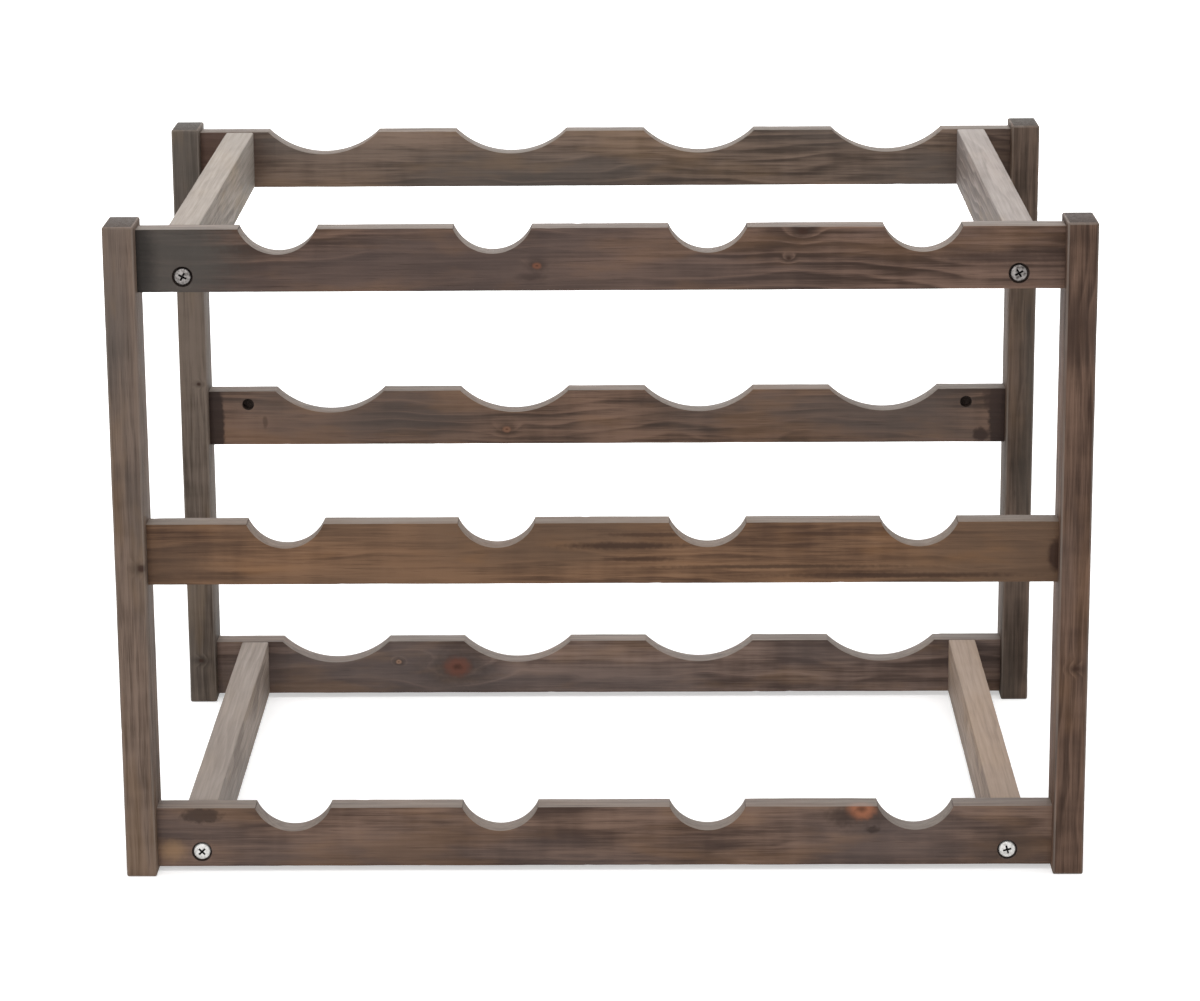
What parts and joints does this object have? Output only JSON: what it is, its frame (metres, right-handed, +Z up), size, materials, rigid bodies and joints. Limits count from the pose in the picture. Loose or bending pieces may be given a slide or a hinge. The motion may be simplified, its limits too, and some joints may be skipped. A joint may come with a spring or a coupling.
{
  "type": "wine rack",
  "caption": "Free-standing stained wooden wine rack: scalloped rails in two ladder frames hold bottles lying flat, necks to the front.",
  "frame": {"origin": "centre of the footprint on the surface that the posts stand on", "axes": "+X to the right seen from the front, +Y to the back, so bottle necks point along -Y, +Z up"},
  "size_m": [0.44, 0.275, 0.305],
  "materials": {
    "stained_wood": "grey-brown stain, matt, with grain and knots showing",
    "crossbar_wood": "thin grey-brown stain, paler on top",
    "dowel_wood": "bare beech",
    "screw_steel": "zinc plated"
  },
  "bodies": {
    "root": {"front_left_post": "stained_wood", "front_right_post": "stained_wood", "rear_left_post": "stained_wood", "rear_right_post": "stained_wood", "bottom_front_rail": "stained_wood", "middle_front_rail": "stained_wood", "top_front_rail": "stained_wood", "bottom_rear_rail": "stained_wood", "middle_rear_rail": "stained_wood", "top_rear_rail": "stained_wood", "bottom_left_crossbar": "crossbar_wood", "bottom_right_crossbar": "crossbar_wood", "top_left_crossbar": "crossbar_wood", "top_right_crossbar": "crossbar_wood", "bottom_left_crossbar_dowels": "dowel_wood", "bottom_right_crossbar_dowels": "dowel_wood", "top_left_crossbar_dowels": "dowel_wood", "top_right_crossbar_dowels": "dowel_wood", "bottom_front_dowels": "dowel_wood", "middle_front_dowels": "dowel_wood", "top_front_dowels": "dowel_wood", "bottom_rear_dowels": "dowel_wood", "middle_rear_dowels": "dowel_wood", "top_rear_dowels": "dowel_wood", "bottom_front_screws": "screw_steel", "top_front_screws": "screw_steel", "bottom_rear_screws": "screw_steel", "top_rear_screws": "screw_steel"}
  },
  "joints": []
}
